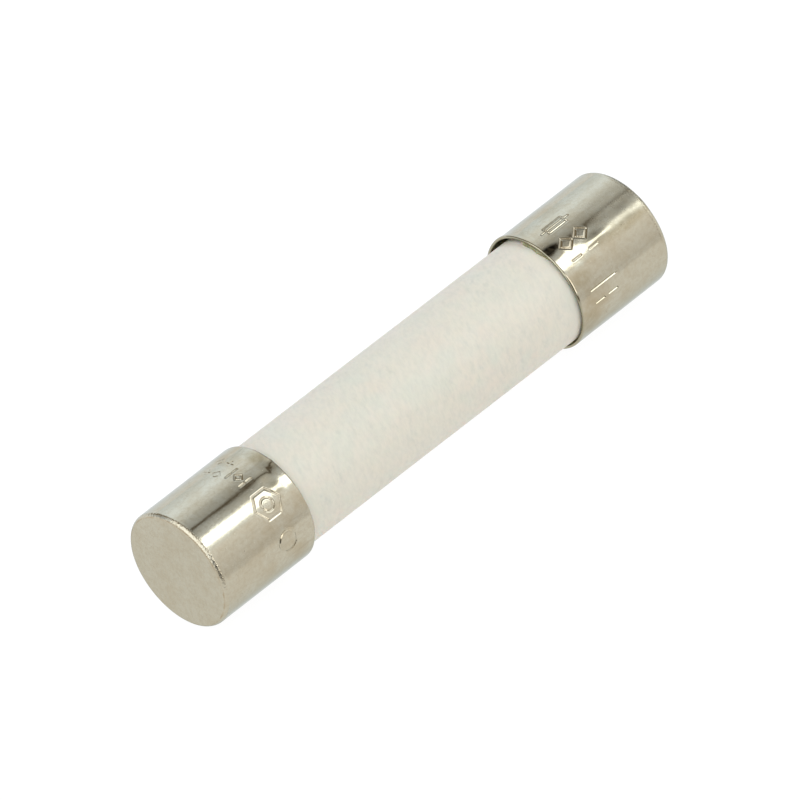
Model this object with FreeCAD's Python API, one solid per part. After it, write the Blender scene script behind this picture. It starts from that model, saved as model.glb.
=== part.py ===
"""Cartridge fuse of the 6.3 x 32 mm class, sand filled, with a ceramic tube and drawn metal end caps.

Frame: the origin is at the middle of the fuse, on the common axis of the two caps.
+X runs along the fuse towards the right cap, +Z is up, and all sizes are in millimetres.

The caps share one axis. The tube is a little smaller than their bores and sits slightly askew
between them, turned about Z through the origin, with all that it holds. Whatever is at the right
end is at the left end too, turned half a turn about Z.
"""

import FreeCAD, Part
import math
import os

Vector = FreeCAD.Vector

# Whole fuse
OVERALL_LENGTH = 31.4

# End caps: cups drawn from thin sheet
CAP_DIAMETER = 6.35
CAP_LENGTH = 6.2
CAP_WALL = 0.18
CAP_END_THICKNESS = 0.25
CAP_OUTER_CORNER = 0.22
CAP_INNER_CORNER = 0.10
CAP_MOUTH_ROUNDING = 0.05

# Ceramic tube
TUBE_DIAMETER = 5.80
TUBE_BORE = 4.00
TUBE_OUTER_ROUNDING = 0.20
TUBE_INNER_ROUNDING = 0.12
TUBE_TILT_DEG = -0.29

# Solder pool between each cap's end and the tube
SOLDER_THICKNESS = 0.40
SOLDER_SIDE_GAP = 0.20
SOLDER_CORNER = 0.15

# Fibre washers that close the bore and keep the sand in
WASHER_RECESS = 0.40
WASHER_THICKNESS = 0.50
WASHER_SLOT_CLEARANCE = 0.05

# Fuse element: one straight wire from bore wall to bore wall, its ends bent over the tube's ends
WIRE_DIAMETER = 0.32
WIRE_BEND_RADIUS = 0.40
WIRE_WALL_GAP = 0.12
WIRE_END_GAP = 0.02
WIRE_LEG_INSET = 0.25

# Cement ring between each cap and the tube
CEMENT_RECESS = 0.55
CEMENT_LENGTH = 2.20

# Worked out from the above
CAP_OUTER_RADIUS = CAP_DIAMETER / 2
CAP_INNER_RADIUS = CAP_OUTER_RADIUS - CAP_WALL
END_X = OVERALL_LENGTH / 2
CAP_FLOOR_X = END_X - CAP_END_THICKNESS
MOUTH_X = END_X - CAP_LENGTH
TUBE_RADIUS = TUBE_DIAMETER / 2
BORE_RADIUS = TUBE_BORE / 2
TUBE_END_X = CAP_FLOOR_X - SOLDER_THICKNESS
WASHER_OUTER_X = TUBE_END_X - WASHER_RECESS
WASHER_INNER_X = WASHER_OUTER_X - WASHER_THICKNESS
WIRE_RADIUS = WIRE_DIAMETER / 2
WIRE_OFFSET = BORE_RADIUS - WIRE_RADIUS - WIRE_WALL_GAP
WIRE_LEG_X = TUBE_END_X + WIRE_RADIUS + WIRE_END_GAP
OVERLAP = 0.05

ORIGIN = Vector(0, 0, 0)
AXIS_X = Vector(1, 0, 0)
AXIS_Z = Vector(0, 0, 1)


def rounded_edges(corners, closed):
    """Edges through corners (x, y, radius) in the XY plane, joined by tangent arcs of those radii."""
    points = [Vector(x, y, 0) for x, y, _ in corners]
    count = len(corners)
    stops = []
    for i, (_, _, radius) in enumerate(corners):
        corner = points[i]
        if radius == 0:
            stops.append((corner, None, corner))
            continue
        back = (points[i - 1] - corner).normalize()
        ahead = (points[(i + 1) % count] - corner).normalize()
        half = back.getAngle(ahead) / 2
        reach = radius / math.tan(half)
        centre = corner + (back + ahead).normalize() * (radius / math.sin(half))
        middle = centre + (corner - centre).normalize() * radius
        stops.append((corner + back * reach, middle, corner + ahead * reach))
    edges = []
    for i, (start, middle, end) in enumerate(stops):
        if middle is not None:
            edges.append(Part.Arc(start, middle, end).toShape())
        if closed or i + 1 < count:
            edges.append(Part.LineSegment(end, stops[(i + 1) % count][0]).toShape())
    return edges


def turned(corners):
    """The solid that an outline of (x, radius from the axis, corner radius) makes about the X axis."""
    outline = Part.Wire(rounded_edges(corners, closed=True))
    return Part.Face(outline).revolve(ORIGIN, AXIS_X, 360)


def disc(start_x, end_x, radius):
    """A plain cylinder about the X axis."""
    return Part.makeCylinder(radius, end_x - start_x, Vector(start_x, 0, 0), AXIS_X)


def askew(shape):
    """The shape turned about Z by the small angle at which the tube sits between the caps."""
    tilted = shape.copy()
    tilted.rotate(ORIGIN, AXIS_Z, TUBE_TILT_DEG)
    return tilted


def at_left_end(shape):
    """A right end piece moved to the left end."""
    moved = shape.copy()
    moved.rotate(ORIGIN, AXIS_Z, 180)
    return moved


def ceramic_tube():
    """The insulating tube, with the broken edges of a tumbled ceramic."""
    return turned(
        [
            (-TUBE_END_X, TUBE_RADIUS, TUBE_OUTER_ROUNDING),
            (TUBE_END_X, TUBE_RADIUS, TUBE_OUTER_ROUNDING),
            (TUBE_END_X, BORE_RADIUS, TUBE_INNER_ROUNDING),
            (-TUBE_END_X, BORE_RADIUS, TUBE_INNER_ROUNDING),
        ]
    )


def end_cap():
    """The right cap: a cup of even wall with its mouth towards the middle of the fuse."""
    return turned(
        [
            (MOUTH_X, CAP_OUTER_RADIUS, CAP_MOUTH_ROUNDING),
            (END_X, CAP_OUTER_RADIUS, CAP_OUTER_CORNER),
            (END_X, 0, 0),
            (CAP_FLOOR_X, 0, 0),
            (CAP_FLOOR_X, CAP_INNER_RADIUS, CAP_INNER_CORNER),
            (MOUTH_X, CAP_INNER_RADIUS, CAP_MOUTH_ROUNDING),
        ]
    )


def fuse_element():
    """The wire: a leg across each end of the tube and one straight slanting run through the bore."""
    leg_end = TUBE_RADIUS - WIRE_LEG_INSET
    path = rounded_edges(
        [
            (-WIRE_LEG_X, -leg_end, 0),
            (-WIRE_LEG_X, -WIRE_OFFSET, WIRE_BEND_RADIUS),
            (WIRE_LEG_X, WIRE_OFFSET, WIRE_BEND_RADIUS),
            (WIRE_LEG_X, leg_end, 0),
        ],
        closed=False,
    )
    section = Part.Wire(Part.makeCircle(WIRE_RADIUS, Vector(-WIRE_LEG_X, -leg_end, 0), Vector(0, 1, 0)))
    return Part.Wire(path).makePipeShell([section], True, False)


def washer():
    """The right washer: a disc that fits the bore, with a slot at its edge that clears the wire."""
    half_width = WIRE_RADIUS + WASHER_SLOT_CLEARANCE
    slot_y = WIRE_OFFSET * WASHER_INNER_X / WIRE_LEG_X
    start = WASHER_INNER_X - OVERLAP
    length = WASHER_THICKNESS + 2 * OVERLAP
    slot = disc(start, start + length, half_width)
    slot.translate(Vector(0, slot_y, 0))
    slot_mouth = Part.makeBox(length, BORE_RADIUS, 2 * half_width, Vector(start, slot_y, -half_width))
    return disc(WASHER_INNER_X, WASHER_OUTER_X, BORE_RADIUS).cut(slot.fuse(slot_mouth))


def quartz_sand(wire):
    """The filling: all of the bore between the washers, less the wire."""
    return disc(-WASHER_INNER_X, WASHER_INNER_X, BORE_RADIUS).cut(wire)


def solder(tube, wire):
    """The right solder pool, which covers the cap's floor and the washer and holds the wire's leg."""
    rim = CAP_INNER_RADIUS - SOLDER_SIDE_GAP
    pool = turned(
        [
            (TUBE_END_X - OVERLAP, rim, 0),
            (CAP_FLOOR_X, rim, SOLDER_CORNER),
            (CAP_FLOOR_X, 0, 0),
            (TUBE_END_X - OVERLAP, 0, 0),
        ]
    )
    plug = askew(disc(WASHER_OUTER_X, TUBE_END_X, BORE_RADIUS))
    return pool.fuse(plug).cut(tube).cut(wire).removeSplitter()


def cement_ring():
    """The right cement ring: it fills the gap round the tube and stays back from the cap's mouth."""
    start = MOUTH_X + CEMENT_RECESS
    tube_outside = askew(disc(-TUBE_END_X, TUBE_END_X, TUBE_RADIUS))
    return disc(start, start + CEMENT_LENGTH, CAP_INNER_RADIUS).cut(tube_outside)


def build():
    """Every sub-part by name."""
    tube = askew(ceramic_tube())
    wire = askew(fuse_element())
    at_right_end = {
        "end_cap": end_cap(),
        "solder": solder(tube, wire),
        "washer": askew(washer()),
        "cement_ring": cement_ring(),
    }
    nodes = {
        "ceramic_tube": tube,
        "fuse_element": wire,
        "quartz_sand": askew(quartz_sand(fuse_element())),
    }
    for name, shape in at_right_end.items():
        nodes["right_" + name] = shape
        nodes["left_" + name] = at_left_end(shape)
    return nodes


os.makedirs("parts", exist_ok=True)
for node, shape in build().items():
    for solid in shape.Solids:
        if not solid.isValid():
            raise ValueError(f"{node} has a solid that is not valid")
    Part.makeCompound(shape.Solids).exportStep(f"parts/{node}.step")
    print(node, len(shape.Solids), "solid,", round(shape.Volume, 3), "mm3")
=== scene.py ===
"""The looks of a sand-filled cartridge fuse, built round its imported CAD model.

Everything is in metres in the model's own frame: +X runs along the fuse, +Z is up, and the origin is
the fuse's middle. A point on a cap or on the tube is given by its angle about the X axis, from +Y
towards +Z, and by its place along the axis. Pieces that both ends have are made for the right end,
and turned half a turn about Z for the left one.
"""

import math

import bpy
import numpy as np
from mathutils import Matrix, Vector
from mathutils.geometry import delaunay_2d_cdt


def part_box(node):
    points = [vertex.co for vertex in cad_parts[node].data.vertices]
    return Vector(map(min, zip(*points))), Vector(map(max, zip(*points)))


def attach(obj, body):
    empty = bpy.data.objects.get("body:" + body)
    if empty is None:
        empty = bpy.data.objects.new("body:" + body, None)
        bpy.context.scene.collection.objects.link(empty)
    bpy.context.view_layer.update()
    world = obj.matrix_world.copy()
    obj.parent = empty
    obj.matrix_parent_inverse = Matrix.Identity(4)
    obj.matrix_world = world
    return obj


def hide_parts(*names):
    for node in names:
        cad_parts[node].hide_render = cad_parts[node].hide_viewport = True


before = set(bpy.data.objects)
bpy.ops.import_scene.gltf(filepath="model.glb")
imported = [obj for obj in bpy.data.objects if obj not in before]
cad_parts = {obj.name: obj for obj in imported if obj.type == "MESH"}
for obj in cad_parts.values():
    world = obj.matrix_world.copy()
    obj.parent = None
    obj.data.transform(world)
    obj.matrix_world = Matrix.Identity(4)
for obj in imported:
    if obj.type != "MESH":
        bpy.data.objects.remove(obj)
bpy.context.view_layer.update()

MM = 0.001
BODY = "root"

# ---------------------------------------------------------------- sizes, read from the frame

CAP_LOW, CAP_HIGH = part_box("right_end_cap")
TUBE_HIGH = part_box("ceramic_tube")[1]
SAND_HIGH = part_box("quartz_sand")[1]
SOLDER_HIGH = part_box("right_solder")[1]
WASHER_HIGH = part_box("right_washer")[1]
CEMENT_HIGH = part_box("right_cement_ring")[1]
WIRE_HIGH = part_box("fuse_element")[1]

CAP_RADIUS = CAP_HIGH.z
CAP_LENGTH = CAP_HIGH.x - CAP_LOW.x
END_X = CAP_HIGH.x
MOUTH_X = CAP_LOW.x
CAP_BORE_RADIUS = CEMENT_HIGH.z
CAP_FLOOR_X = SOLDER_HIGH.x
TUBE_RADIUS = TUBE_HIGH.z
BORE_RADIUS = SAND_HIGH.z
WIRE_RADIUS = WIRE_HIGH.z


def tube_lean():
    """The small angle about Z at which the tube sits between the caps."""
    points = [v.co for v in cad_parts["ceramic_tube"].data.vertices]
    end = [p for p in points if p.x > TUBE_HIGH.x * 0.99]
    middle = (min(p.y for p in end) + max(p.y for p in end)) / 2
    return math.atan2(middle, TUBE_HIGH.x)


LEAN = tube_lean()


def before_lean(high_x, radius):
    """Where along the tube's own axis a leaning disc lies, from its box's highest x."""
    return (high_x - radius * math.sin(abs(LEAN))) / math.cos(LEAN)


TUBE_END_X = before_lean(TUBE_HIGH.x, TUBE_RADIUS)
WASHER_OUTER_X = before_lean(WASHER_HIGH.x, BORE_RADIUS)
SAND_END_X = before_lean(SAND_HIGH.x, BORE_RADIUS)

# ---------------------------------------------------------------- mesh helpers


def make_piece(name, points, faces, material, slot, *nodes):
    """A smooth mesh piece that rides on the fuse, in place of the CAD nodes it stands for."""
    mesh = bpy.data.meshes.new(name)
    mesh.from_pydata(np.asarray(points).tolist(), [], faces)
    mesh.validate()
    mesh.polygons.foreach_set("use_smooth", [True] * len(mesh.polygons))
    mesh.materials.append(material)
    piece = bpy.data.objects.new(name, mesh)
    bpy.context.scene.collection.objects.link(piece)
    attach(piece, BODY)
    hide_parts(*nodes)
    return piece


def leaned(points):
    """Points of the tube's own frame, turned to where the tube sits."""
    c, s = math.cos(LEAN), math.sin(LEAN)
    x, y, z = points.T
    return np.stack([c * x - s * y, s * x + c * y, z], axis=1)


def at_end(side, points):
    """Right end points, for a side of 1, or the same turned to the left end, for a side of -1."""
    return points * np.array([side, side, 1])


def end_name(side):
    """What an end is called in the names of pieces and nodes."""
    return "right" if side > 0 else "left"


def in_place(side, angles):
    """Angles of right end points, once the points are at their end of the fuse."""
    return angles if side > 0 else math.pi - angles


def turned_grid(x, radius, angles):
    """Points on rings about the X axis, a ring for each row of x and radius."""
    x, radius, angles = np.broadcast_arrays(x, radius, angles)
    return np.stack([x, radius * np.cos(angles), radius * np.sin(angles)], axis=-1).reshape(-1, 3)


def ring_faces(rows, around, closed=False):
    """Quads between neighbouring rings, and from the last ring back to the first if closed.

    They face outward where an outline runs from high x to low x on its way along the outside.
    """
    this = np.arange(rows if closed else rows - 1)[:, None] * around
    after = (this + around) % (rows * around)
    i = np.arange(around)
    j = (i + 1) % around
    return np.stack([this + i, after + i, after + j, this + j], axis=-1).reshape(-1, 4).tolist()


def capped_ends(points, faces, around, first_tip, last_tip):
    """The points with two more, to which triangles close the first and the last ring."""
    tip = len(points)
    last = tip - around
    for i in range(around):
        j = (i + 1) % around
        faces.append((tip, i, j))
        faces.append((tip + 1, last + j, last + i))
    return np.vstack([points, first_tip, last_tip])


def around_axis(count):
    """Evenly spaced angles about the X axis."""
    return np.linspace(0, 2 * math.pi, count, endpoint=False)


def turn_between(angles, degrees):
    """How far angles are from one in degrees, the short way round."""
    return (angles - math.radians(degrees) + math.pi) % (2 * math.pi) - math.pi


def smooth_step(low, high, value):
    """0 below low, 1 above high, and a smooth rise between them."""
    t = np.clip((value - low) / (high - low), 0, 1)
    return t * t * (3 - 2 * t)


def ripple(angles, along, seed, turns, wave, count=16):
    """Smooth seeded unevenness, mostly between -1 and 1, with no seam round the axis.

    turns is the most waves in one turn, and wave the shortest wave along the axis.
    """
    random = np.random.default_rng(seed)
    total = 0
    for _ in range(count):
        k = random.integers(-turns, turns + 1)
        pace = random.uniform(-1, 1) * 2 * math.pi / wave
        total = total + np.cos(k * angles + pace * along + random.uniform(0, 2 * math.pi))
    return total / math.sqrt(count)


MOUTH_THINNING = 0.025 * MM
MOUTH_TAPER = 0.60 * MM


def cap_bore(x):
    """The cap's inner radius at places x along it: the wall is drawn thinner towards the mouth."""
    return CAP_BORE_RADIUS + MOUTH_THINNING * (1 - smooth_step(MOUTH_X, MOUTH_X + MOUTH_TAPER, x))


def arc(centre_x, centre_r, radius, start_deg, end_deg, steps, stretch=1.0):
    """(x, r) points on an arc of an outline, whose angle is measured from +x towards +r.

    A stretch above 1 draws the arc out along the axis.
    """
    angles = np.radians(np.linspace(start_deg, end_deg, steps))
    along = stretch * radius
    return [(centre_x + along * math.cos(a), centre_r + radius * math.sin(a)) for a in angles]


def level_run(x_from, x_to, radius, steps):
    """(x, r) points between two places on a straight stretch of an outline, without its ends."""
    return [(x, radius) for x in np.linspace(x_from, x_to, steps)[1:-1]]


# ---------------------------------------------------------------- material helpers


def add_node(tree, kind, inputs=None, **settings):
    """A new node with its settings, and its inputs set to values or joined to sockets."""
    made = tree.nodes.new(kind)
    for name, value in settings.items():
        setattr(made, name, value)
    for key, value in (inputs or {}).items():
        if isinstance(value, bpy.types.NodeSocket):
            tree.links.new(value, made.inputs[key])
        else:
            made.inputs[key].default_value = value
    return made


def start_material(name):
    """A new material, its tree, its surface shader and its coordinates in millimetres."""
    material = bpy.data.materials.new(name)
    material.use_nodes = True
    tree = material.node_tree
    shader = tree.nodes["Principled BSDF"]
    place = add_node(tree, "ShaderNodeTexCoord")
    in_mm = stretched(tree, place.outputs["Object"], (1000, 1000, 1000))
    return material, tree, shader, in_mm


def stretched(tree, place, scale, turn=(0, 0, 0)):
    """Coordinates turned by degrees and then scaled."""
    turned = add_node(tree, "ShaderNodeMapping", {0: place, "Rotation": [math.radians(a) for a in turn]})
    return add_node(tree, "ShaderNodeMapping", {0: turned.outputs[0], "Scale": scale}).outputs[0]


def noise(tree, place, per_mm, detail=3.0, rough=0.55):
    """Cloudy noise from 0 to 1 with that many features to the millimetre."""
    made = add_node(
        tree,
        "ShaderNodeTexNoise",
        {"Vector": place, "Scale": per_mm, "Detail": detail, "Roughness": rough},
    )
    return made.outputs["Fac"]


def remap(tree, value, low, high, to_low=0.0, to_high=1.0):
    """value taken from the range low..high to the range to_low..to_high, and held there."""
    made = add_node(tree, "ShaderNodeMapRange", {0: value, 1: low, 2: high, 3: to_low, 4: to_high})
    return made.outputs[0]


def calculate(tree, operation, a, b):
    """The result of one sum on two values."""
    return add_node(tree, "ShaderNodeMath", {0: a, 1: b}, operation=operation).outputs[0]


def tinted(tree, share, first, second):
    """The first colour, going over to the second as share goes from 0 to 1."""
    made = add_node(tree, "ShaderNodeMix", data_type="RGBA")
    factor, a, b = made.inputs[0], made.inputs[6], made.inputs[7]
    for socket, value in ((factor, share), (a, first), (b, second)):
        if isinstance(value, bpy.types.NodeSocket):
            tree.links.new(value, socket)
        else:
            socket.default_value = value
    return made.outputs[2]


SPOT_CORE = 0.45


def spot(tree, place, x, degrees, half_length, half_width):
    """1 amid an oval patch on a cap's wall, and 0 outside it; x and the sizes are in millimetres."""
    angle = math.radians(degrees)
    middle = Vector((x, CAP_RADIUS / MM * math.cos(angle), CAP_RADIUS / MM * math.sin(angle)))
    offset = add_node(tree, "ShaderNodeVectorMath", {0: place, 1: middle}, operation="SUBTRACT").outputs[0]
    offset = stretched(tree, offset, (1 / half_length, 1 / half_width, 1 / half_width))
    distance = add_node(tree, "ShaderNodeVectorMath", {0: offset}, operation="LENGTH").outputs["Value"]
    return remap(tree, distance, SPOT_CORE, 1.0, 1.0, 0.0)


def spread(tree, value, low, high):
    """1 where the value is between low and high, each a (start, end) of a soft edge, and 0 outside."""
    rise = remap(tree, value, low[0], low[1])
    fall = remap(tree, value, high[0], high[1], 1.0, 0.0)
    return calculate(tree, "MULTIPLY", rise, fall)


def bumped(tree, shader, layers):
    """Bump layers on the shader, each a (height, depth in metres) pair."""
    normal = None
    for height, depth in layers:
        inputs = {"Height": height, "Distance": depth, "Strength": 1.0}
        if normal is not None:
            inputs["Normal"] = normal
        normal = add_node(tree, "ShaderNodeBump", inputs).outputs[0]
    tree.links.new(normal, shader.inputs["Normal"])


def join(tree, shader, **sockets):
    """Joins sockets to the shader's inputs; an underscore in a name stands for a space."""
    for name, value in sockets.items():
        tree.links.new(value, shader.inputs[name.replace("_", " ")])


# ---------------------------------------------------------------- materials


# Stains and painted shade on the caps: (place along X, angle, half length, half width, share, colour), in
# millimetres.
STAINS_AND_PAINTED_SHADE = [
    # A painted dark reflection: a near-black patch beside the right cap's mouth.
    (9.75, 101, 0.90, 0.32, 0.98, (0.020, 0.019, 0.014, 1)),
    # Brown stains by the right cap's mouth.
    (10.20, 138, 0.90, 0.60, 0.50, (0.34, 0.28, 0.17, 1)),
    (10.60, 160, 1.30, 0.90, 0.40, (0.36, 0.29, 0.18, 1)),
    (9.90, 182, 0.80, 0.90, 0.50, (0.33, 0.27, 0.16, 1)),
    # Painted shade that dims the long lamp's highlight on the right cap; the first of these is partly a
    # brown stain as well.
    (14.00, 124.0, 2.20, 0.36, 0.64, (0.33, 0.27, 0.16, 1)),
    (14.10, 117.5, 2.20, 0.42, 0.64, (0.27, 0.24, 0.17, 1)),
    (12.00, 117.5, 0.80, 0.50, 0.70, (0.30, 0.26, 0.17, 1)),
    # A brown stain by the left cap's mouth.
    (-9.90, 84.0, 0.50, 0.75, 0.60, (0.30, 0.25, 0.15, 1)),
    # Painted shade that dims the long lamp's highlight on the left cap.
    (-10.40, 117.0, 0.42, 0.45, 0.55, (0.36, 0.31, 0.19, 1)),
]

# A part of the right cap's top has lost some of its gloss: (place along X, angle, half length, half width).
SCUFF = (14.40, 108, 2.30, 1.70)
SCUFF_ROUGHNESS = 0.17

# The plating is worn on a ring this far in from the closed end's rim, in millimetres.
WORN_RING_INSET = 0.15


def nickel_material():
    """Bright nickel over drawn brass: warm stains towards the mouth, a worn corner, pits, scratches, and
    painted shade on the lip, by the right mouth and over the highlights.
    """
    material, tree, shader, place = start_material("nickel_plating")
    along = add_node(tree, "ShaderNodeSeparateXYZ", {0: place}).outputs[0]
    from_middle = calculate(tree, "ABSOLUTE", along, 0.0)
    crosswise = {0: stretched(tree, place, (0, 1, 1))}
    from_axis = add_node(tree, "ShaderNodeVectorMath", crosswise, operation="LENGTH").outputs["Value"]
    near_mouth = remap(tree, from_middle, 10.0, 14.5, 1.0, 0.35)
    stains = remap(tree, noise(tree, place, 0.9, 4.0), 0.43, 0.66)
    stains = calculate(tree, "MULTIPLY", stains, near_mouth)
    colour = tinted(tree, stains, (0.508, 0.469, 0.364, 1), (0.446, 0.380, 0.262, 1))
    smears = noise(tree, stretched(tree, place, (0.6, 2.6, 2.6)), 2.2, 5.0)
    smears = calculate(tree, "MULTIPLY", remap(tree, smears, 0.54, 0.76, 0.0, 0.5), near_mouth)
    colour = tinted(tree, smears, colour, (0.36, 0.31, 0.22, 1))
    mottle = remap(tree, noise(tree, place, 5.0, 3.0), 0.42, 0.70, 0.0, 0.40)
    colour = tinted(tree, mottle, colour, (0.41, 0.35, 0.24, 1))
    broken = remap(tree, noise(tree, place, 3.4, 4.0), 0.34, 0.54, 0.60, 1.0)
    # Each patch goes into the base colour: brown stains, a painted dark reflection and painted shade over
    # the highlights.
    for x, degrees, half_length, half_width, share, tint in STAINS_AND_PAINTED_SHADE:
        stain_and_shade_patch = spot(tree, place, x, degrees, half_length, half_width)
        stain_and_shade_patch = calculate(tree, "MULTIPLY", stain_and_shade_patch, calculate(tree, "MULTIPLY", broken, share))
        colour = tinted(tree, stain_and_shade_patch, colour, tint)
    pits = remap(tree, noise(tree, place, 9.0, 2.0), 0.72, 0.80)
    colour = tinted(tree, calculate(tree, "MULTIPLY", pits, 0.4), colour, (0.28, 0.24, 0.18, 1))
    edge = CAP_RADIUS / MM - WORN_RING_INSET
    corner = spread(tree, from_axis, (edge - 0.05, edge - 0.01), (edge + 0.02, edge + 0.06))
    worn = calculate(tree, "MULTIPLY", corner, remap(tree, noise(tree, place, 2.6, 4.0), 0.36, 0.62))
    colour = tinted(tree, calculate(tree, "MULTIPLY", worn, 0.60), colour, (0.34, 0.25, 0.13, 1))
    # The lip at the mouth is painted darker and olive: painted shade that dims its reflection.
    lip = MOUTH_X / MM
    lip_painted_shade = remap(tree, from_middle, lip + 0.03, lip + 0.07, 0.70, 0.0)
    colour = tinted(tree, lip_painted_shade, colour, (0.34, 0.32, 0.23, 1))
    round_corner = remap(tree, from_middle, END_X / MM - 0.32, END_X / MM - 0.20)
    dings = calculate(tree, "MULTIPLY", round_corner, noise(tree, place, 8.0, 3.0))
    wear = noise(tree, place, 1.7, 5.0)
    roughness = calculate(tree, "ADD", remap(tree, wear, 0.35, 0.70, 0.09, 0.16), pits)
    scuffed = remap(tree, spot(tree, place, *SCUFF), 0.0, 1.0, 0.0, SCUFF_ROUGHNESS)
    roughness = calculate(tree, "ADD", roughness, scuffed)
    shader.inputs["Metallic"].default_value = 1.0
    shader.inputs["Specular Tint"].default_value = (0.74, 0.79, 0.80, 1)
    join(tree, shader, Base_Color=colour, Roughness=roughness)
    drawn = noise(tree, stretched(tree, place, (0.30, 8, 8)), 1.6, 4.0)
    scratched = stretched(tree, place, (14, 0.8, 0.8), (12, 0, 20))
    bumped(
        tree,
        shader,
        [
            (drawn, 0.0006 * MM),
            (noise(tree, place, 3.6, 3.0), 0.0028 * MM),
            (noise(tree, place, 8.5, 2.0), 0.0011 * MM),
            (dings, 0.030 * MM),
            (noise(tree, scratched, 1.2, 3.0), 0.0008 * MM),
            (pits, -0.003 * MM),
        ],
    )
    return material


def ceramic_material():
    """Fired white ceramic: satin, with faint clouds, a fine mottle and soft grey rub marks."""
    material, tree, shader, place = start_material("ceramic")
    along = add_node(tree, "ShaderNodeSeparateXYZ", {0: place}).outputs[0]
    warm = remap(tree, noise(tree, place, 0.42, 1.5), 0.50, 0.64)
    colour = tinted(tree, warm, (0.656, 0.621, 0.525, 1), (0.665, 0.613, 0.518, 1))
    cool = noise(tree, stretched(tree, place, (1, 1, 1), (40, 0, 70)), 0.55, 1.5)
    colour = tinted(tree, remap(tree, cool, 0.52, 0.68), colour, (0.632, 0.616, 0.522, 1))
    from_middle = calculate(tree, "ABSOLUTE", along, 0.0)
    handled = remap(tree, from_middle, 8.6, 9.4, 1.0, 0.25)
    slanted = stretched(tree, place, (2.2, 0.9, 0.9), (0, 18, 24))
    mottle = remap(tree, noise(tree, slanted, 2.8, 4.0, 0.65), 0.40, 0.66, 0.0, 0.27)
    patches = remap(tree, noise(tree, place, 0.55, 3.0), 0.42, 0.62)
    rubbed = noise(tree, slanted, 1.7, 4.0, 0.6)
    marks = calculate(tree, "MULTIPLY", remap(tree, rubbed, 0.50, 0.74, 0.0, 0.42), patches)
    soiled = calculate(tree, "MULTIPLY", calculate(tree, "ADD", mottle, marks), handled)
    colour = tinted(tree, soiled, colour, (0.470, 0.476, 0.420, 1))
    roughness = remap(tree, rubbed, 0.3, 0.7, 0.42, 0.60)
    join(tree, shader, Base_Color=colour, Roughness=roughness)
    shader.inputs["Subsurface Weight"].default_value = 0.15
    shader.inputs["Subsurface Scale"].default_value = 0.4 * MM
    grain = noise(tree, place, 14.0, 3.0)
    bumped(tree, shader, [(grain, 0.0030 * MM), (rubbed, 0.0040 * MM)])
    return material


def cement_material():
    """Hardened olive-yellow adhesive, a little cloudy."""
    material, tree, shader, place = start_material("cement")
    clouds = noise(tree, place, 5.0, 4.0)
    colour = tinted(tree, remap(tree, clouds, 0.35, 0.65), (0.13, 0.12, 0.05, 1), (0.34, 0.32, 0.17, 1))
    join(tree, shader, Base_Color=colour, Roughness=remap(tree, clouds, 0.3, 0.7, 0.15, 0.35))
    shader.inputs["Subsurface Weight"].default_value = 0.2
    shader.inputs["Subsurface Scale"].default_value = 0.2 * MM
    bumped(tree, shader, [(noise(tree, place, 7.0, 3.0), 0.010 * MM)])
    return material


def solder_material():
    """Tin solder: grey, with frosty patches and small crystals."""
    material, tree, shader, place = start_material("solder")
    frost = noise(tree, place, 1.8, 5.0)
    colour = tinted(tree, frost, (0.62, 0.61, 0.58, 1), (0.46, 0.46, 0.45, 1))
    shader.inputs["Metallic"].default_value = 1.0
    join(tree, shader, Base_Color=colour, Roughness=remap(tree, frost, 0.35, 0.65, 0.22, 0.48))
    crystals = add_node(tree, "ShaderNodeTexVoronoi", {"Vector": place, "Scale": 7.0})
    bumped(tree, shader, [(crystals.outputs["Distance"], 0.006 * MM), (frost, 0.02 * MM)])
    return material


def wire_material():
    """Silver-plated copper wire, with drawing lines along it and a little tarnish."""
    material, tree, shader, place = start_material("fuse_wire")
    tarnish = remap(tree, noise(tree, place, 1.4, 4.0), 0.45, 0.75, 0.0, 0.7)
    colour = tinted(tree, tarnish, (0.80, 0.78, 0.73, 1), (0.55, 0.44, 0.30, 1))
    shader.inputs["Metallic"].default_value = 1.0
    join(tree, shader, Base_Color=colour, Roughness=remap(tree, tarnish, 0.0, 0.7, 0.16, 0.38))
    drawn = noise(tree, stretched(tree, place, (0.3, 22, 22)), 1.0, 3.0)
    bumped(tree, shader, [(drawn, 0.003 * MM)])
    return material


def fibre_material():
    """Grey-brown vulcanised fibre, with matted fibres in its faces."""
    material, tree, shader, place = start_material("fibre")
    fibres = noise(tree, stretched(tree, place, (1, 1.2, 9), (35, 0, 0)), 1.6, 5.0)
    crossing = noise(tree, stretched(tree, place, (1, 9, 1.4), (-20, 0, 0)), 1.5, 5.0)
    mat = calculate(tree, "MAXIMUM", fibres, crossing)
    colour = tinted(tree, remap(tree, mat, 0.4, 0.75), (0.30, 0.24, 0.16, 1), (0.52, 0.44, 0.32, 1))
    join(tree, shader, Base_Color=colour, Roughness=remap(tree, mat, 0.4, 0.75, 0.9, 0.7))
    bumped(tree, shader, [(mat, 0.015 * MM)])
    return material


def sand_material():
    """Quartz sand: each grain has a tone of its own, from clear grey to amber, and painted shade darkens it
    towards its edge.
    """
    material, tree, shader, place = start_material("sand")
    cells = add_node(tree, "ShaderNodeTexVoronoi", {"Vector": place, "Scale": SAND_GRAINS_PER_MM})
    tone = add_node(tree, "ShaderNodeSeparateXYZ", {0: cells.outputs["Color"]}).outputs[0]
    colour = tinted(tree, tone, (0.50, 0.43, 0.32, 1), (0.78, 0.74, 0.66, 1))
    # Painted shade: each grain is darker towards its edge, where it meets its neighbours.
    edges = remap(tree, cells.outputs["Distance"], 0.35, 0.75, 0.0, 0.6)
    colour = tinted(tree, edges, colour, (0.22, 0.18, 0.12, 1))
    join(tree, shader, Base_Color=colour, Roughness=remap(tree, tone, 0.0, 1.0, 0.35, 0.85))
    bumped(tree, shader, [(noise(tree, place, 18.0, 2.0), 0.010 * MM)])
    return material


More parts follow.
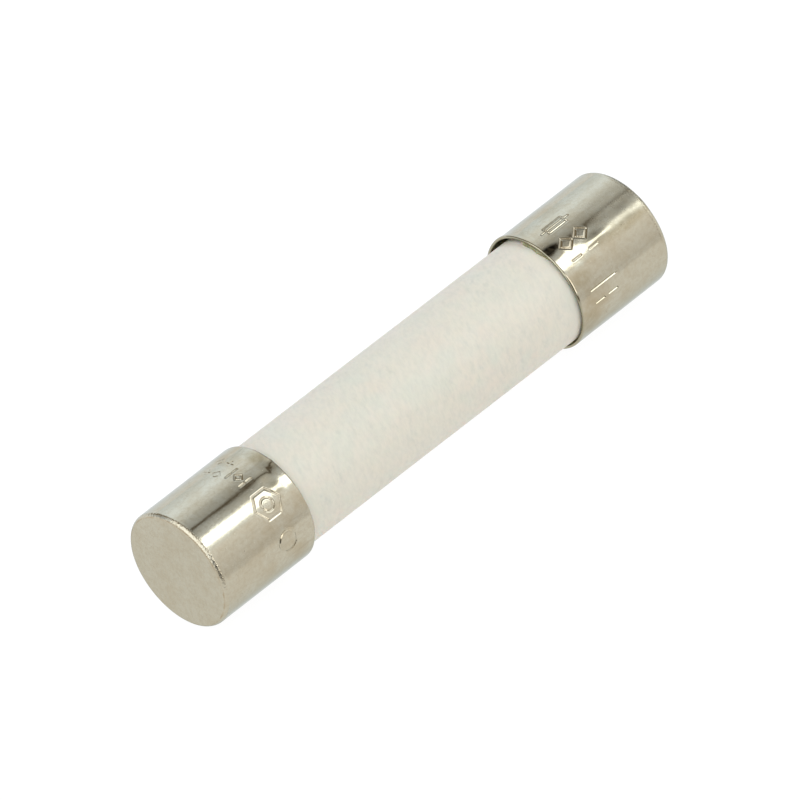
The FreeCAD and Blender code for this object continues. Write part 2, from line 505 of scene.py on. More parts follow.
# ---------------------------------------------------------------- stamped marks
# Plain signs with no meaning as letters, drawn as straight strokes in a plane whose first
# direction runs round the cap and whose second runs along it. Sizes are in millimetres.


def polyline(points, closed=False):
    """The strokes that join neighbouring points."""
    ends = points[1:] + (points[:1] if closed else [])
    return list(zip(points, ends))


def moved(strokes, across, along):
    """Strokes shifted in their plane."""
    return [((a[0] + across, a[1] + along), (b[0] + across, b[1] + along)) for a, b in strokes]


def dashes(count, length, gap):
    """A broken line along the cap."""
    pitch = length + gap
    first = -pitch * (count - 1) / 2
    stroke = [((0, -length / 2), (0, length / 2))]
    return [dash for i in range(count) for dash in moved(stroke, 0, first + i * pitch)]


def fuse_sign(width, height, lead):
    """The circuit symbol of a fuse: a rectangle with a line through it lengthwise."""
    w, h = width / 2, height / 2
    box = polyline([(-w, -h), (w, -h), (w, h), (-w, h)], closed=True)
    return box + [((0, -h - lead), (0, h + lead))]


def many_sided(sides, radius, turn_deg=0.0, stretch=1.0):
    """A regular polygon, which stretch draws out along the cap; with many sides, a ring."""
    angles = [math.radians(turn_deg) + 2 * math.pi * i / sides for i in range(sides)]
    return polyline([(radius * math.cos(a), stretch * radius * math.sin(a)) for a in angles], closed=True)


def plus(size):
    """Two crossed strokes."""
    h = size / 2
    return [((-h, 0), (h, 0)), ((0, -h), (0, h))]


def stroke_distance(u, v, stroke):
    """How far each point (u, v) is from a stroke."""
    (u0, v0), (u1, v1) = stroke
    du, dv = u1 - u0, v1 - v0
    t = np.clip(((u - u0) * du + (v - v0) * dv) / (du * du + dv * dv), 0, 1)
    return np.hypot(u - u0 - t * du, v - v0 - t * dv)


# ---------------------------------------------------------------- end caps

CAP_CORNER = 0.20 * MM
CAP_CORNER_STRETCH = 1.4
CAP_INNER_CORNER = 0.10 * MM
CAP_LIP = 0.05 * MM
CAP_LIP_STRETCH = 2.4
MARKED_ANGLES = (46, 186)
MARKED_PLACES = (3.30 * MM, 5.85 * MM)
FINE_TURN = 0.42
COARSE_TURN = 2.0
FINE_STEP = 0.024 * MM
COARSE_STEP = 0.20 * MM
MOUTH_STEP = 0.04 * MM

CAP_TIP_RADIUS = 0.25 * MM
WALL_FADE_RADIUS = 0.6 * CAP_RADIUS
CAP_WAVINESS = 0.0026 * MM
CAP_FINE_WAVINESS = 0.0007 * MM

STROKE_SPREAD = 0.045
FAINT_STROKE = 0.017
RING_STROKE = 0.036
LIGHT_STROKE = 0.028
FULL_STROKE = 0.040
DEEP_STROKE = 0.052
DEEPEST_STROKE = 0.072
SHOULDER_SHARE = 0.08
SHOULDER_PLACE = 2.2 * STROKE_SPREAD
DIAMOND = many_sided(4, 0.34, 0, 1.2)

# Each mark is (strokes, angle in degrees, millimetres from the closed end, depth of its strokes).
RIGHT_MARKS = [
    (fuse_sign(0.46, 1.20, 0.32), 84, 4.45, FULL_STROKE),
    (moved(DIAMOND, 0, -0.50) + moved(DIAMOND, 0, 0.50), 105.5, 4.45, FULL_STROKE),
    (dashes(2, 0.55, 0.60), 121.5, 4.45, FAINT_STROKE),
    (dashes(1, 1.70, 0.0), 153, 4.45, DEEP_STROKE),
    (dashes(2, 0.60, 0.30), 167, 4.45, DEEPEST_STROKE),
]
LEFT_MARKS = [
    (many_sided(4, 0.24), 59, 4.75, FAINT_STROKE),
    (plus(0.40), 71, 4.75, FAINT_STROKE),
    (plus(0.40), 59, 3.80, FAINT_STROKE),
    (many_sided(4, 0.24), 71, 3.80, FAINT_STROKE),
    (dashes(2, 0.30, 0.16), 82, 4.25, FULL_STROKE),
    (many_sided(4, 0.22), 90, 4.25, FULL_STROKE),
    (dashes(2, 0.30, 0.16), 98, 4.25, FULL_STROKE),
    (many_sided(6, 0.80, 30) + many_sided(16, 0.34), 125, 4.30, LIGHT_STROKE),
    (many_sided(24, 0.56), 164, 4.45, RING_STROKE),
]

# Shallow dents are (angle, millimetres from the closed end, spread round, spread along, depth).
# A negative depth makes a ridge.
RIGHT_DENTS = [
    (115.5, 1.3, 0.42, 1.4, -0.046),
    (118, 3.42, 0.25, 0.70, -0.046),
    (121.5, 5.2, 0.68, 0.80, 0.040),
    (136, 6.2, 0.60, 0.12, 0.024),
    (100, 1.4, 0.26, 1.4, -0.024),
    (102, 5.9, 0.32, 0.45, 0.020),
    (50, 6.2, 1.30, 0.35, -0.070),
]
LEFT_DENTS = [
    (102, 0.9, 0.25, 1.2, -0.006),
    (102, 5.62, 0.26, 0.10, 0.014),
    (121, 5.70, 0.36, 0.11, 0.011),
    (118.5, 5.22, 0.27, 0.36, -0.028),
    (102, 5.10, 0.26, 0.42, -0.028),
    (97, 6.12, 0.22, 0.26, -0.032),
]


def cap_outline():
    """(x, r) rows of the right cap's whole skin, from the closed end's middle round to its floor."""
    corner_length = CAP_CORNER * CAP_CORNER_STRETCH
    lip_length = CAP_LIP * CAP_LIP_STRETCH
    corner_r = CAP_RADIUS - CAP_CORNER
    rows = [(END_X, r) for r in np.linspace(CAP_TIP_RADIUS, corner_r, 12)[:-1]]
    rows += arc(END_X - corner_length, corner_r, CAP_CORNER, 0, 90, 15, CAP_CORNER_STRETCH)
    along = list(np.arange(corner_length + COARSE_STEP, MARKED_PLACES[0], COARSE_STEP))
    along += list(np.arange(*MARKED_PLACES, FINE_STEP))
    along += list(np.arange(MARKED_PLACES[1], CAP_LENGTH - 1.2 * lip_length, MOUTH_STEP))
    rows += [(END_X - a, CAP_RADIUS) for a in along]
    rows += arc(MOUTH_X + lip_length, CAP_RADIUS - CAP_LIP, CAP_LIP, 90, 180, 9, CAP_LIP_STRETCH)
    rows += arc(MOUTH_X + CAP_LIP, cap_bore(MOUTH_X) + CAP_LIP, CAP_LIP, 180, 270, 5)
    inner_x = CAP_FLOOR_X - CAP_INNER_CORNER
    rows += [(x, cap_bore(x)) for x in np.linspace(MOUTH_X + 2 * CAP_LIP, inner_x, 20)[:-1]]
    inner_arc = arc(inner_x, CAP_BORE_RADIUS - CAP_INNER_CORNER, CAP_INNER_CORNER, 90, 0, 5)
    rows += inner_arc
    rows += [(CAP_FLOOR_X, r) for r in np.linspace(inner_arc[-1][1], CAP_TIP_RADIUS, 6)[1:]]
    return np.array(rows)


def cap_angles(side):
    """Angles of a cap's columns, which are close together where its marks will be."""
    start, end = MARKED_ANGLES
    degrees = np.concatenate([np.arange(start, end, FINE_TURN), np.arange(end, start + 360, COARSE_TURN)])
    return np.sort(in_place(side, np.radians(degrees)))


def pressed_in(angles, from_end, marks, dents):
    """How deep the marks and dents press the cap's wall in, in metres."""
    depth = np.zeros((len(from_end), len(angles)))
    for strokes, angle, place, stroke_depth in marks:
        u = (turn_between(angles, angle) * CAP_RADIUS / MM)[None, :]
        v = (from_end / MM - place)[:, None]
        nearest = np.full(depth.shape, np.inf)
        for stroke in strokes:
            nearest = np.minimum(nearest, stroke_distance(u, v, stroke))
        groove = np.exp(-((nearest / STROKE_SPREAD) ** 2))
        shoulder = SHOULDER_SHARE * np.exp(-(((nearest - SHOULDER_PLACE) / STROKE_SPREAD) ** 2))
        depth += stroke_depth * (groove - shoulder)
    for angle, place, spread_round, spread_along, amount in dents:
        u = (turn_between(angles, angle) * CAP_RADIUS / MM)[None, :] / spread_round
        v = (from_end / MM - place)[:, None] / spread_along
        depth += amount * np.exp(-(u * u + v * v))
    return depth * MM


def end_cap(side, marks, dents, seed, material):
    """A drawn cap: a cup with a rolled corner, stamped marks and the slight waviness of thin sheet."""
    outline = cap_outline()
    angles = cap_angles(side)
    x = outline[:, 0][:, None]
    r = outline[:, 1][:, None]
    from_end = END_X - outline[:, 0]
    on_wall = smooth_step(WALL_FADE_RADIUS, CAP_RADIUS, outline[:, 1])[:, None]
    skin = pressed_in(in_place(side, angles), from_end, marks, dents) * on_wall
    waviness = CAP_WAVINESS * ripple(angles, x, seed, 6, 4 * MM)
    waviness = waviness + CAP_FINE_WAVINESS * ripple(angles, x, seed + 1, 16, 1.2 * MM)
    points = turned_grid(x, r - skin + waviness * on_wall, angles)
    faces = ring_faces(len(outline), len(angles))
    points = capped_ends(points, faces, len(angles), (END_X, 0, 0), (CAP_FLOOR_X, 0, 0))
    node = end_name(side) + "_end_cap"
    points = at_end(side, points)
    return make_piece(node + "_shell", points, faces, material, "nickel_plating", node)


# ---------------------------------------------------------------- ceramic tube

TUBE_AROUND = 400
TUBE_OUTER_ROUNDING = 0.20 * MM
TUBE_INNER_ROUNDING = 0.12 * MM
TUBE_UNEVENNESS = 0.0030 * MM
TUBE_FINE_UNEVENNESS = 0.0010 * MM


def ceramic_tube(material):
    """The tube: a fired extrusion, a few microns out of true, with softened ends."""
    angles = around_axis(TUBE_AROUND)
    out_x = TUBE_END_X - TUBE_OUTER_ROUNDING
    in_x = TUBE_END_X - TUBE_INNER_ROUNDING
    out_r = TUBE_RADIUS - TUBE_OUTER_ROUNDING
    in_r = BORE_RADIUS + TUBE_INNER_ROUNDING
    rows = level_run(out_x, -out_x, TUBE_RADIUS, 150)
    rows += arc(-out_x, out_r, TUBE_OUTER_ROUNDING, 90, 180, 6)
    rows += arc(-in_x, in_r, TUBE_INNER_ROUNDING, 180, 270, 5)
    rows += level_run(-in_x, in_x, BORE_RADIUS, 24)
    rows += arc(in_x, in_r, TUBE_INNER_ROUNDING, -90, 0, 5)
    rows += arc(out_x, out_r, TUBE_OUTER_ROUNDING, 0, 90, 6)
    outline = np.array(rows)
    x = outline[:, 0][:, None]
    r = outline[:, 1][:, None]
    outside = smooth_step(BORE_RADIUS, TUBE_RADIUS, outline[:, 1])[:, None]
    unevenness = TUBE_UNEVENNESS * ripple(angles, x, 3, 4, 9 * MM)
    unevenness = unevenness + TUBE_FINE_UNEVENNESS * ripple(angles, x, 4, 22, 1.2 * MM)
    points = leaned(turned_grid(x, r + unevenness * outside, angles))
    faces = ring_faces(len(outline), TUBE_AROUND, closed=True)
    return make_piece("tube", points, faces, material, "ceramic", "ceramic_tube")


# ---------------------------------------------------------------- cement rings

CEMENT_AROUND = 360
CEMENT_RECESS = 0.30 * MM
CEMENT_CLEARANCE = 0.003 * MM
CEMENT_UNEVENNESS = 0.09 * MM
CEMENT_BULGE = 0.07 * MM
CEMENT_BACK_INSET = 0.10 * MM
CEMENT_BACK_UNEVENNESS = 0.05 * MM
CEMENT_BACK_BULGE = 0.04 * MM
BEAD_ANGLE = 89
BEAD_EDGE = (12, 28)
BEAD_RECESS = 0.02 * MM
BEAD_BULGE = 0.060 * MM
BEAD_UNEVENNESS = 0.035 * MM
HOLLOW_ANGLE = 40
HOLLOW_EDGE = (18, 36)
HOLLOW_DEPTH = 1.2 * MM


def tube_reach(x, angles):
    """How far the leaning tube's skin is from the caps' axis, at places x along that axis."""
    offset = x * math.tan(LEAN)
    return offset * np.cos(angles) + np.sqrt(TUBE_RADIUS**2 - (offset * np.sin(angles)) ** 2)


def cement_ring(side, seed, bead_angle, material):
    """Adhesive between a cap and the tube: its front is uneven, deep down at one side, and may ooze out."""
    angles = around_axis(CEMENT_AROUND)
    bead = np.zeros(CEMENT_AROUND)
    if bead_angle is not None:
        off = np.abs(turn_between(in_place(side, angles), bead_angle))
        bead = 1 - smooth_step(*np.radians(BEAD_EDGE), off)
    off_hollow = np.abs(turn_between(in_place(side, angles), HOLLOW_ANGLE))
    hollow = HOLLOW_DEPTH * (1 - smooth_step(*np.radians(HOLLOW_EDGE), off_hollow))
    uneven = ripple(angles, 0, seed, 24, 1)
    recess = (CEMENT_RECESS + hollow + CEMENT_UNEVENNESS * uneven) * (1 - bead) + BEAD_RECESS * bead
    ooze = CEMENT_BULGE * (1 - bead) + (BEAD_BULGE + BEAD_UNEVENNESS * uneven) * bead
    back_uneven = CEMENT_BACK_UNEVENNESS * ripple(angles, 0, seed + 1, 10, 1)
    back = CEMENT_HIGH.x - back_uneven - CEMENT_BACK_INSET
    x_rows = []
    r_rows = []

    def add_row(x, share):
        """A row at places x, that far from the tube's skin (0) towards the cap's wall (1)."""
        inner = tube_reach(x, angles) + CEMENT_CLEARANCE
        x_rows.append(x)
        r_rows.append(inner + share * (cap_bore(x) - CEMENT_CLEARANCE - inner))

    for t in np.linspace(0, 1, 8)[:-1]:
        add_row(back + (MOUTH_X + recess - back) * t, 1.0)
    for a in np.radians(np.linspace(0, 90, 9)):
        add_row(MOUTH_X + recess - ooze * math.sin(a), math.cos(a))
    front = x_rows[-1]
    for t in np.linspace(0, 1, 8)[1:]:
        add_row(front + (back - front) * t, 0.0)
    add_row(back + CEMENT_BACK_BULGE, 0.5)
    faces = ring_faces(len(x_rows), CEMENT_AROUND, closed=True)
    points = turned_grid(np.array(x_rows), np.array(r_rows), angles)
    end = end_name(side)
    points = at_end(side, points)
    return make_piece(end + "_cement", points, faces, material, "cement", end + "_cement_ring")


# ---------------------------------------------------------------- what the fuse holds

SOLDER_AROUND = 180
SOLDER_RIM = 2.74 * MM
SOLDER_CLEARANCE = 0.006 * MM
SOLDER_UNEVENNESS = 0.035 * MM
SOLDER_NECK = 0.10 * MM
SOLDER_ROUNDING = 0.06 * MM
PLUG_ROUNDING = 0.05 * MM


def solder_pool(side, seed, material):
    """Solder that wetted the cap's floor, crept over the tube's end and plugged the bore."""
    angles = around_axis(SOLDER_AROUND)
    edge = SOLDER_RIM + SOLDER_UNEVENNESS * ripple(angles, 0, seed, 8, 1)
    face_x = TUBE_END_X + SOLDER_CLEARANCE
    plug_r = BORE_RADIUS - SOLDER_CLEARANCE
    middle_x = (CAP_FLOOR_X + face_x) / 2
    neck = edge - SOLDER_NECK
    steps = [(CAP_FLOOR_X - SOLDER_CLEARANCE, edge * share) for share in (0.1, 0.4, 0.7, 0.9, 1.0)]
    steps += [(CAP_FLOOR_X - SOLDER_ROUNDING, (edge + neck) / 2), (middle_x, neck)]
    steps += [(face_x + SOLDER_ROUNDING, (edge + neck) / 2), (face_x, edge)]
    steps += [(face_x, TUBE_RADIUS * share) for share in (0.90, 0.83, 0.76)]
    plug_ends = TUBE_END_X - TUBE_INNER_ROUNDING, WASHER_OUTER_X + PLUG_ROUNDING
    steps += [(x, plug_r) for x in np.linspace(*plug_ends, 5)]
    steps += [(WASHER_OUTER_X + SOLDER_CLEARANCE, share * plug_r) for share in (0.97, 0.7, 0.4, 0.1)]
    x = np.array([np.full(SOLDER_AROUND, x) for x, _ in steps])
    r = np.array([np.broadcast_to(r, SOLDER_AROUND) for _, r in steps])
    points = turned_grid(x, r, angles)
    faces = ring_faces(len(steps), SOLDER_AROUND)
    tips = (steps[0][0], 0, 0), (steps[-1][0], 0, 0)
    points = capped_ends(points, faces, SOLDER_AROUND, *tips)
    in_bore = smooth_step(TUBE_END_X, TUBE_END_X - 0.1 * MM, points[:, 0])
    points[:, 1] += in_bore * points[:, 0] * math.tan(LEAN)
    end = end_name(side)
    points = at_end(side, points)
    return make_piece(end + "_solder_pool", points, faces, material, "solder", end + "_solder")


WIRE_WALL_GAP = 0.12 * MM
WIRE_OFFSET = BORE_RADIUS - WIRE_RADIUS - WIRE_WALL_GAP
WIRE_END_GAP = 0.02 * MM
WIRE_LEG_X = TUBE_END_X + WIRE_RADIUS + WIRE_END_GAP
WIRE_LEG_INSET = 0.25 * MM
WIRE_LEG_END = TUBE_RADIUS - WIRE_LEG_INSET
WIRE_BEND_RADIUS = 0.40 * MM
WIRE_AROUND = 28
WIRE_STEP = 0.06 * MM
WIRE_BOW_EDGE = (0.7 * SAND_END_X, 0.93 * SAND_END_X)
WIRE_BOW_Y = 0.035 * MM
WIRE_BOW_Z = 0.045 * MM


def rounded_path(corners, radius, steps):
    """Points of a line through corners, which arcs of one radius round off."""
    path = [corners[0]]
    for before, corner, after in zip(corners, corners[1:], corners[2:]):
        back = (before - corner).normalized()
        ahead = (after - corner).normalized()
        half = back.angle(ahead) / 2
        centre = corner + (back + ahead).normalized() * radius / math.sin(half)
        start = (corner + back * radius / math.tan(half) - centre).normalized()
        end = (corner + ahead * radius / math.tan(half) - centre).normalized()
        path += [centre + radius * start.slerp(end, i / steps) for i in range(steps + 1)]
    return path + [corners[-1]]


def filled(path, longest):
    """The path with points added so that no step is longer than that."""
    points = []
    for start, end in zip(path, path[1:]):
        count = math.ceil((end - start).length / longest)
        points += [start.lerp(end, i / count) for i in range(count)]
    return np.array(points + [path[-1]])


def swept(path, radii, around):
    """Rings of a round bar along a path that stays near the XY plane."""
    along = np.gradient(path, axis=0)
    along /= np.linalg.norm(along, axis=1)[:, None]
    sideways = np.cross(along, (0, 0, 1))
    sideways /= np.linalg.norm(sideways, axis=1)[:, None]
    upward = np.cross(sideways, along)
    angles = around_axis(around)[None, :, None]
    rim = np.cos(angles) * sideways[:, None] + np.sin(angles) * upward[:, None]
    return (path[:, None] + radii[:, None, None] * rim).reshape(-1, 3)


def fuse_wire(material):
    """The wire: a leg across each end of the tube, and a run through the sand that isn't quite straight."""
    corners = [
        Vector((WIRE_LEG_X, WIRE_LEG_END, 0)),
        Vector((WIRE_LEG_X, WIRE_OFFSET, 0)),
        Vector((-WIRE_LEG_X, -WIRE_OFFSET, 0)),
        Vector((-WIRE_LEG_X, -WIRE_LEG_END, 0)),
    ]
    path = filled(rounded_path(corners, WIRE_BEND_RADIUS, 12), WIRE_STEP)
    x = path[:, 0]
    loose = 1 - smooth_step(*WIRE_BOW_EDGE, np.abs(x))
    path[:, 1] += WIRE_BOW_Y * loose * ripple(0, x, 31, 0, 6 * MM)
    path[:, 2] += WIRE_BOW_Z * loose * ripple(0, x, 32, 0, 7 * MM)
    lengths = np.linalg.norm(np.diff(path, axis=0), axis=1)
    run = np.concatenate([[0], np.cumsum(lengths)])
    from_end = np.minimum(run, run[-1] - run) / WIRE_RADIUS
    radii = WIRE_RADIUS * (0.8 + 0.2 * smooth_step(0, 0.5, from_end))
    points = swept(path, radii, WIRE_AROUND)
    faces = ring_faces(len(path), WIRE_AROUND)
    points = capped_ends(points, faces, WIRE_AROUND, path[0], path[-1])
    return make_piece("fuse_wire", leaned(points), faces, material, "fuse_wire", "fuse_element")


WASHER_CLEARANCE = 0.010 * MM
SLOT_CLEARANCE = 0.05 * MM
SLOT_HALF_WIDTH = WIRE_RADIUS + SLOT_CLEARANCE
WASHER_EDGE = 0.04 * MM
WASHER_GRID = 0.09 * MM
WASHER_MATTING = 0.012 * MM


def washer_outline(inset):
    """(y, z) points round a disc with a slot at +Y, all drawn in by an inset."""
    radius = BORE_RADIUS - WASHER_CLEARANCE - inset
    half = SLOT_HALF_WIDTH + inset
    slot_y = WIRE_OFFSET * SAND_END_X / WIRE_LEG_X
    corner = math.asin(half / radius)
    round_edge = np.linspace(corner, 2 * math.pi - corner, 150)
    points = [(radius * math.cos(a), radius * math.sin(a)) for a in round_edge]
    points += [(slot_y + share * (points[-1][0] - slot_y), -half) for share in (0.75, 0.5, 0.25)]
    bottom = np.radians(np.linspace(-90, -270, 17))
    points += [(slot_y + half * math.cos(a), half * math.sin(a)) for a in bottom]
    points += [(slot_y + share * (points[0][0] - slot_y), half) for share in (0.25, 0.5, 0.75)]
    return points


def fibre_washer(side, seed, material):
    """A disc punched from fibre sheet: a slot for the wire, burred edges and matted faces."""
    random = np.random.default_rng(seed)
    inner_outline = washer_outline(WASHER_EDGE)
    count = len(inner_outline)
    grid = np.arange(-BORE_RADIUS, BORE_RADIUS, WASHER_GRID)
    inside = [Vector(p) for p in inner_outline]
    inside += [
        Vector((y, z)) + Vector(random.uniform(-0.2, 0.2, 2) * WASHER_GRID) for y in grid for z in grid
    ]
    rim = [(i, (i + 1) % count) for i in range(count)]
    flat, _, triangles, _, _, _ = delaunay_2d_cdt(inside, rim, [], 1, 1e-9)
    flat = np.array([tuple(p) for p in flat])
    matted = WASHER_MATTING * np.abs(random.standard_normal((2, len(flat))))
    low, high = SAND_END_X, WASHER_OUTER_X
    faces = []
    points = [np.column_stack([high - matted[0], flat]), np.column_stack([low + matted[1], flat])]
    for a, b, c in triangles:
        faces += [(a, b, c), (a + len(flat), c + len(flat), b + len(flat))]
    outer = np.array(washer_outline(0.0))
    edge_start = 2 * len(flat)
    for x in (high - WASHER_EDGE, low + WASHER_EDGE):
        points.append(np.column_stack([np.full(count, x), outer]))
    loops = (
        range(count),
        range(edge_start, edge_start + count),
        range(edge_start + count, edge_start + 2 * count),
        range(len(flat), len(flat) + count),
    )
    for near, far in zip(loops, loops[1:]):
        for i in range(count):
            j = (i + 1) % count
            faces.append((near[i], far[i], far[j], near[j]))
    end = end_name(side)
    points = at_end(side, leaned(np.vstack(points)))
    return make_piece(end + "_fibre_washer", points, faces, material, "fibre", end + "_washer")


SAND_GRAINS_PER_MM = 3.2
SAND_CLEARANCE = 0.004 * MM
SAND_DEPTH = 0.10 * MM
SAND_AROUND = 176
SAND_ROWS = 380
SAND_FACE_ROWS = 24
GRAIN_PLACES = (0.15, 0.85)
GRAIN_SIZES = (0.75, 1.05)


def grain_height(across, along, columns, seed):
    """The height, from 0 to 1, of packed round grains, one to each square of a grid that wraps round."""
    random = np.random.default_rng(seed)
    rows = int(along.max()) + 2
    jitter = random.uniform(*GRAIN_PLACES, (rows, columns, 2))
    size = random.uniform(*GRAIN_SIZES, (rows, columns))
    column, row = np.floor(across).astype(int), np.floor(along).astype(int)
    height = np.zeros(np.broadcast(across, along).shape)
    for i in (-1, 0, 1):
        for j in (-1, 0, 1):
            r = np.clip(row + j, 0, rows - 1)
            c = (column + i) % columns
            apart = np.hypot(column + i + jitter[r, c, 0] - across, row + j + jitter[r, c, 1] - along)
            height = np.maximum(height, 1 - (apart / size[r, c]) ** 2)
    return height


def sand_filling(material):
    """The packed sand: a grainy body that fills the bore between the washers."""
    angles = around_axis(SAND_AROUND)
    radius = BORE_RADIUS - SAND_CLEARANCE
    reach = SAND_END_X - SAND_CLEARANCE
    face_radii = np.linspace(0.1, 0.98, SAND_FACE_ROWS) * radius
    rows = [(reach, r) for r in face_radii]
    rows += level_run(reach, -reach, radius, SAND_ROWS)
    rows += [(-reach, r) for r in face_radii[::-1]]
    outline = np.array(rows)
    x = outline[:, 0][:, None]
    r = outline[:, 1][:, None]
    steps = np.hypot(*np.diff(outline, axis=0, prepend=outline[:1]).T)
    along = np.cumsum(steps)[:, None] / MM * SAND_GRAINS_PER_MM
    columns = round(2 * math.pi * radius / MM * SAND_GRAINS_PER_MM)
    sunk = SAND_DEPTH * (1 - grain_height(angles / (2 * math.pi) * columns, along, columns, 41))
    at_face = (np.abs(x) > reach - SAND_CLEARANCE) & (r < radius)
    x = x - np.where(at_face, np.sign(x) * sunk * smooth_step(0, radius, r), 0)
    r = r - np.where(at_face, 0, sunk)
    points = turned_grid(x, r, angles)
    faces = ring_faces(len(outline), SAND_AROUND)
    points = capped_ends(points, faces, SAND_AROUND, (reach, 0, 0), (-reach, 0, 0))
    return make_piece("sand_filling", leaned(points), faces, material, "sand", "quartz_sand")


# ---------------------------------------------------------------- studio

VIEW_AZIMUTH = -47.43
VIEW_ELEVATION = 45.61
CAMERA_DISTANCE = 0.6965
CAMERA_LENS = 654.5
AIM_RIGHT = -0.083 * MM
AIM_UP = -0.132 * MM
FLOOR_SIZE = 3.0
FLOOR_GLOW = 0.94
FLOOR_GLOW_FAR = 0.78
FLOOR_DIM_Y = (-42 * MM, -31 * MM)
FLOOR_COOL_Y = (4 * MM, 12 * MM)


def build_camera():
    """A long lens above the fuse's left end, aimed a touch below and left of its middle."""
    a, e = math.radians(VIEW_AZIMUTH), math.radians(VIEW_ELEVATION)
    back = Vector((math.sin(a) * math.cos(e), -math.cos(a) * math.cos(e), math.sin(e)))
    right = Vector((math.cos(a), math.sin(a), 0))
    up = back.cross(right)
    data = bpy.data.cameras.new("camera")
    data.lens = CAMERA_LENS
    data.sensor_width = 36.0
    data.clip_start = 0.01
    data.clip_end = 10.0
    camera = bpy.data.objects.new("camera", data)
    camera.location = right * AIM_RIGHT + up * AIM_UP + back * CAMERA_DISTANCE
    camera.rotation_mode = "QUATERNION"
    camera.rotation_quaternion = (-back).to_track_quat("-Z", "Y")
    bpy.context.scene.collection.objects.link(camera)
    bpy.context.scene.camera = camera


def floor_material():
    """A white light table: most of its brightness is its own, so shadows on it stay faint.

    It is a little cooler behind the fuse, and dims out of sight in front of it.
    """
    material = bpy.data.materials.new("floor")
    material.use_nodes = True
    tree = material.node_tree
    shader = tree.nodes["Principled BSDF"]
    place = add_node(tree, "ShaderNodeTexCoord").outputs["Object"]
    across = add_node(tree, "ShaderNodeSeparateXYZ", {0: place}).outputs[1]
    behind = remap(tree, across, *FLOOR_COOL_Y)
    join(
        tree,
        shader,
        Emission_Color=tinted(tree, behind, (1, 1, 1, 1), (1.17, 1.18, 1.24, 1)),
        Emission_Strength=remap(tree, across, *FLOOR_DIM_Y, FLOOR_GLOW_FAR, FLOOR_GLOW),
    )
    shader.inputs["Base Color"].default_value = (0.09, 0.09, 0.09, 1)
    shader.inputs["Roughness"].default_value = 1.0
    shader.inputs["Specular IOR Level"].default_value = 0.0
    return material


def build_floor():
    """The plain floor that the caps rest on."""
    h = FLOOR_SIZE / 2
    mesh = bpy.data.meshes.new("floor")
    mesh.from_pydata([(-h, -h, 0), (h, -h, 0), (h, h, 0), (-h, h, 0)], [], [(0, 1, 2, 3)])
    mesh.materials.append(floor_material())
    floor = bpy.data.objects.new("floor", mesh)
    floor.location.z = -CAP_RADIUS
    bpy.context.scene.collection.objects.link(floor)


NEUTRAL = (1.0, 1.0, 1.0)
COOL = (1.0, 1.10, 1.23)
FRESH = (1.0, 1.06, 1.12)
PALE = (0.98, 1.015, 1.06)
BROWN = (1.0, 0.85, 0.62)

# The studio in bands that run along the fuse, by their angle about the X axis from +Y, over the
# top, to -Y: a cool white far wall, a dim ceiling with a dark gap, one long lamp, a pale near wall.
# Each is (angle, brightness, tint).
LONG_BANDS = [
    (0, 1.05, COOL),
    (12, 1.12, COOL),
    (20, 1.17, COOL),
    (29, 1.28, COOL),
    (37, 1.25, COOL),
    (44, 1.08, FRESH),
    (53, 0.98, FRESH),
    (60, 0.76, FRESH),
    (68, 0.62, FRESH),
    (76, 0.52, FRESH),
    (80, 0.14, BROWN),
    (83, 0.14, BROWN),
    (87, 0.54, FRESH),
    (97, 0.76, FRESH),
    (102, 0.95, FRESH),
    (106, 3.40, FRESH),
    (120, 3.40, FRESH),
    (125, 1.22, FRESH),
    (134, 1.15, NEUTRAL),
    (150, 1.03, NEUTRAL),
    (166, 0.94, NEUTRAL),
    (180, 0.85, NEUTRAL),
]

# The studio beyond the left end, by height from the floor (0) to overhead (1): a brown skirting
# and one bright panel that reaches overhead. Off the panel's sides the wall is grey.
END_BANDS = [
    (0.00, 0.45, BROWN),
    (0.16, 0.45, BROWN),
    (0.24, 2.00, PALE),
    (1.00, 2.00, PALE),
]
PANEL_SIDES = (0.60, 0.70)
FAR_OF_PANEL = 0.66
NEAR_OF_PANEL = 0.12

# Between the two lies a dark gap, given by where it starts and ends along X.
GAP = (0.30, BROWN)
GAP_RIGHT_EDGE = (0.36, 0.29)
GAP_LEFT_EDGE = (-0.04, -0.14)

# Beyond the right end the near half is lighter than the far half.
RIGHT_END = (0.68, 0.80)
RIGHT_END_TURN = (-0.35, 0.35)
RIGHT_END_NEAR = 1.25
RIGHT_END_FAR = 0.15

# A second, short lamp hangs on the near wall, abreast of the fuse: the left cap's corner mirrors it.
SHORT_LAMP = 3.2
SHORT_LAMP_ANGLES = ((128, 134), (162, 168))
SHORT_LAMP_X = ((-0.08, -0.02), (0.20, 0.27))
BRIGHTEST = max(level * max(tint) for _, level, tint in LONG_BANDS + END_BANDS)


def flat_colour(level, tint=NEUTRAL):
    """One even colour of the world, over the brightest colour of all."""
    return [level * part / BRIGHTEST for part in tint] + [1]


def band_colour(tree, share, bands, last):
    """The colour at a share of the way through the bands, over the brightest colour of all."""
    made = add_node(tree, "ShaderNodeValToRGB", {0: share})
    ramp = made.color_ramp
    ramp.interpolation = "EASE"
    while len(ramp.elements) < len(bands):
        ramp.elements.new(0.5)
    for element, (place, level, tint) in zip(ramp.elements, bands):
        element.position = place / last
        element.color = flat_colour(level, tint)
    return made.outputs[0]


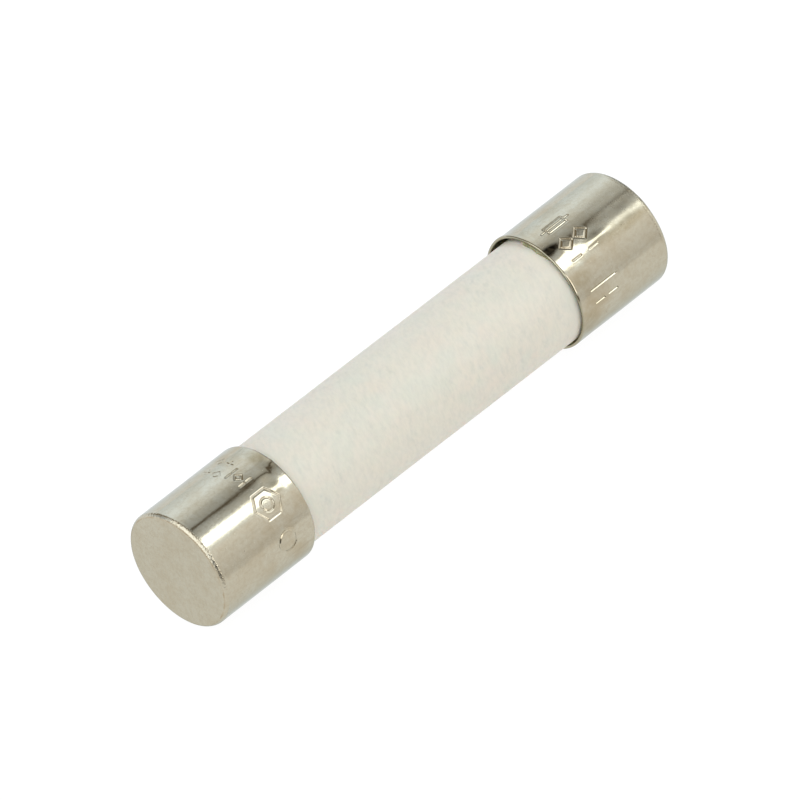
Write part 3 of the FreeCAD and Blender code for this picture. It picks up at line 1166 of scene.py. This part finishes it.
def build_world():
    """Soft light all round: long bands beside and above the fuse, and a panel beyond its left end."""
    world = bpy.data.worlds.new("studio")
    world.use_nodes = True
    tree = world.node_tree
    direction = add_node(tree, "ShaderNodeTexCoord").outputs["Generated"]
    x, y, z = add_node(tree, "ShaderNodeSeparateXYZ", {0: direction}).outputs
    angle = calculate(tree, "MULTIPLY", calculate(tree, "ARCTAN2", z, y), 180 / math.pi)
    beside = band_colour(tree, remap(tree, angle, 0.0, 180.0), LONG_BANDS, 180)
    beyond = band_colour(tree, z, END_BANDS, 1)
    far_side = remap(tree, y, *PANEL_SIDES)
    near_side = remap(tree, calculate(tree, "MULTIPLY", y, -1.0), *PANEL_SIDES)
    beyond = tinted(tree, far_side, beyond, flat_colour(FAR_OF_PANEL, COOL))
    beyond = tinted(tree, near_side, beyond, flat_colour(NEAR_OF_PANEL))
    light = tinted(tree, remap(tree, x, *GAP_RIGHT_EDGE), beside, flat_colour(*GAP))
    light = tinted(tree, remap(tree, x, *GAP_LEFT_EDGE), light, beyond)
    turn = remap(tree, y, *RIGHT_END_TURN)
    right_end = tinted(tree, turn, flat_colour(RIGHT_END_NEAR), flat_colour(RIGHT_END_FAR, COOL))
    light = tinted(tree, remap(tree, x, *RIGHT_END), light, right_end)
    in_length = spread(tree, x, *SHORT_LAMP_X)
    lamp = calculate(tree, "MULTIPLY", spread(tree, angle, *SHORT_LAMP_ANGLES), in_length)
    light = tinted(tree, lamp, light, flat_colour(SHORT_LAMP))
    background = tree.nodes["Background"]
    tree.links.new(light, background.inputs["Color"])
    background.inputs["Strength"].default_value = BRIGHTEST
    bpy.context.scene.world = world


def set_colours():
    """Colours as they are, with no film curve."""
    view = bpy.context.scene.view_settings
    view.view_transform = "Standard"
    view.look = "None"
    view.exposure = 0.0
    view.gamma = 1.0


# ---------------------------------------------------------------- making everything

build_camera()
build_floor()
build_world()
set_colours()

ceramic_tube(ceramic_material())
fuse_wire(wire_material())
sand_filling(sand_material())

nickel = nickel_material()
cement = cement_material()
solder = solder_material()
fibre = fibre_material()
end_cap(1, RIGHT_MARKS, RIGHT_DENTS, 11, nickel)
end_cap(-1, LEFT_MARKS, LEFT_DENTS, 12, nickel)
cement_ring(1, 21, BEAD_ANGLE, cement)
cement_ring(-1, 23, None, cement)
for side in (1, -1):
    solder_pool(side, 25, solder)
    fibre_washer(side, 27, fibre)
